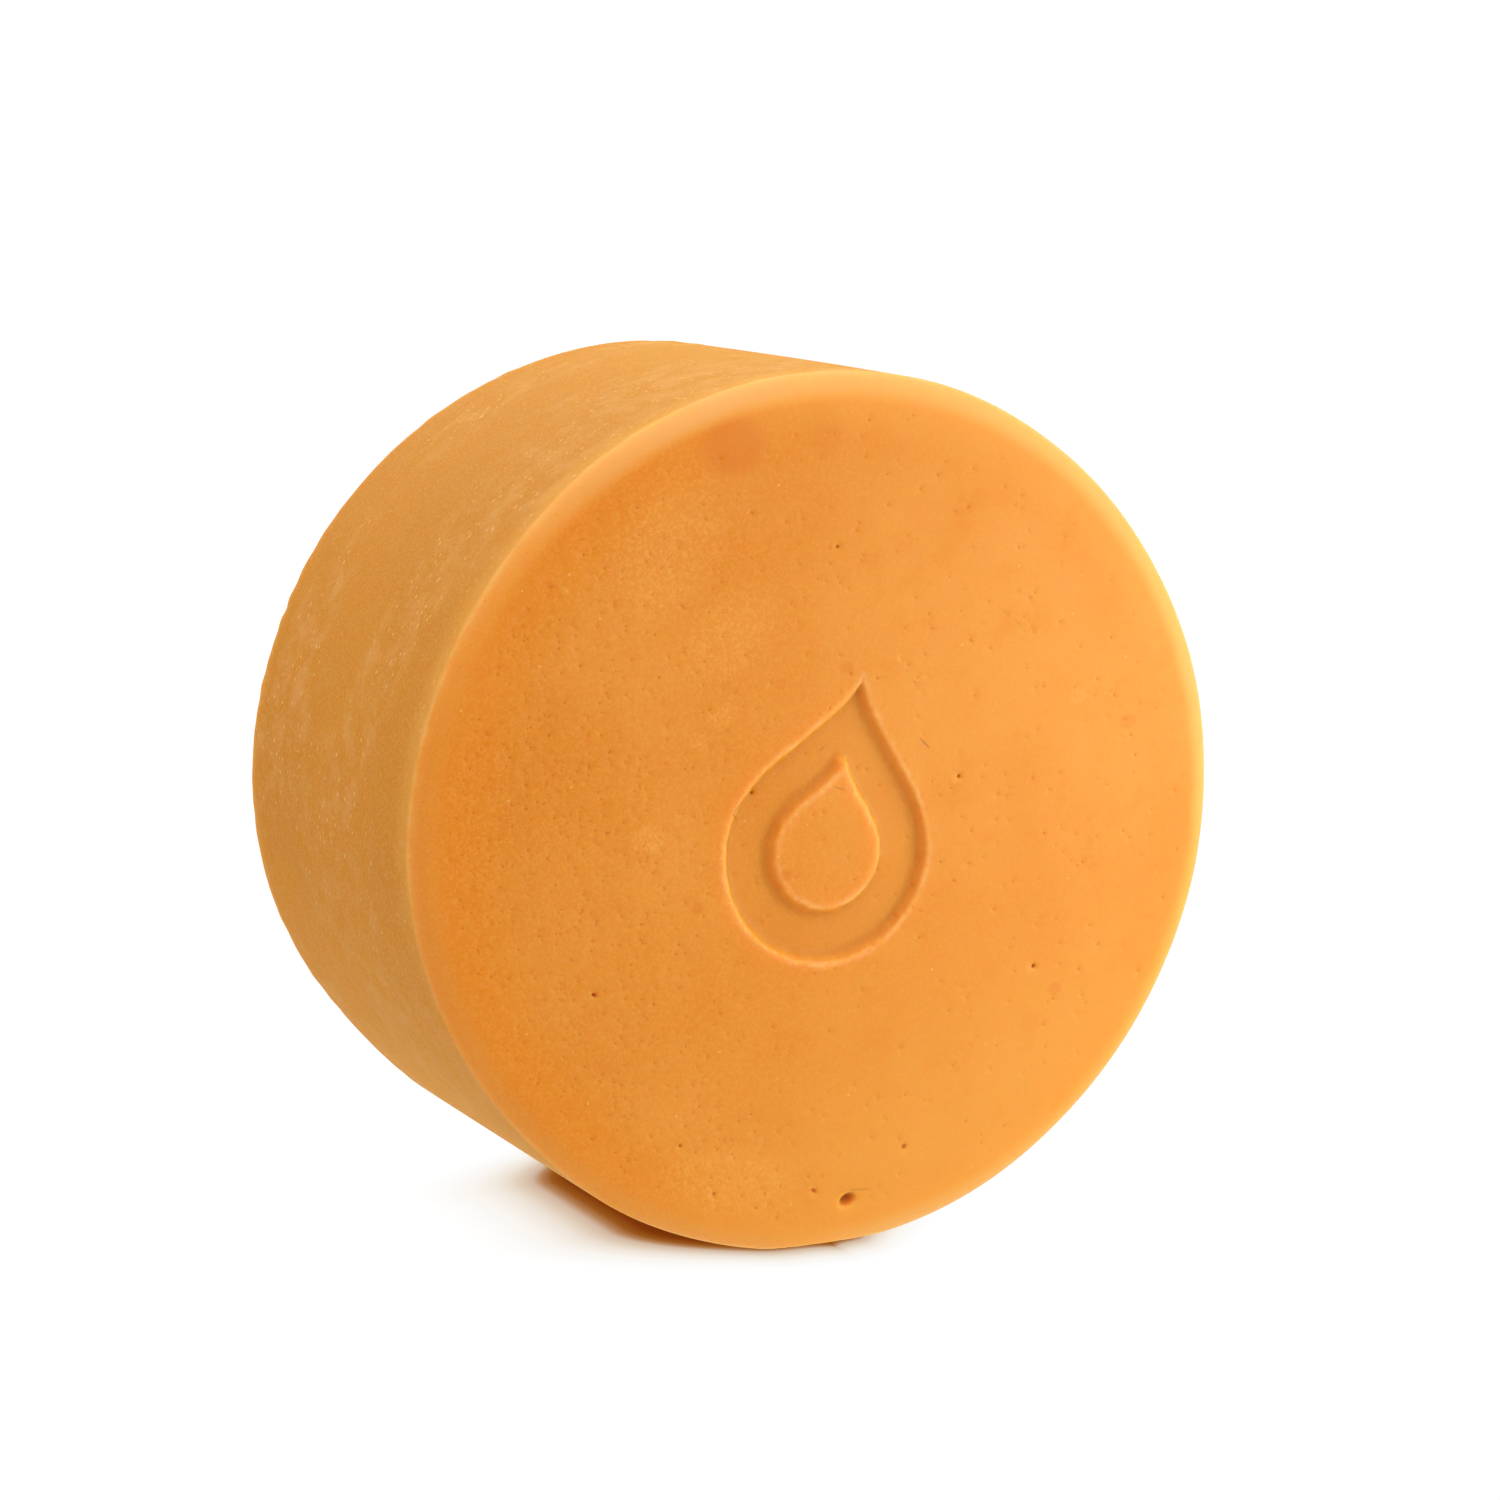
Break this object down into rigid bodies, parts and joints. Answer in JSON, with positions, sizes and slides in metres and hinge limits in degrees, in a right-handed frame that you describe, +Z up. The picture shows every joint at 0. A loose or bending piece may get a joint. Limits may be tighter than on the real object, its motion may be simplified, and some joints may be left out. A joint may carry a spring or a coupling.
{
  "type": "shaving soap puck",
  "caption": "Round puck of translucent amber shaving soap with a bevelled front edge and a pressed lather drop, standing on its rim.",
  "frame": {"origin": "on the ground, in the middle of the small flat on the rim that the puck stands on", "axes": "+Z up across the puck; the puck's own axis lies along Y, with the marked face towards -Y; +X to the right seen from in front of the marked face"},
  "size_m": [0.062, 0.035, 0.0617],
  "materials": {
    "soap": "satin translucent soap"
  },
  "bodies": {
    "root": {"soap_puck": "soap"}
  },
  "joints": []
}
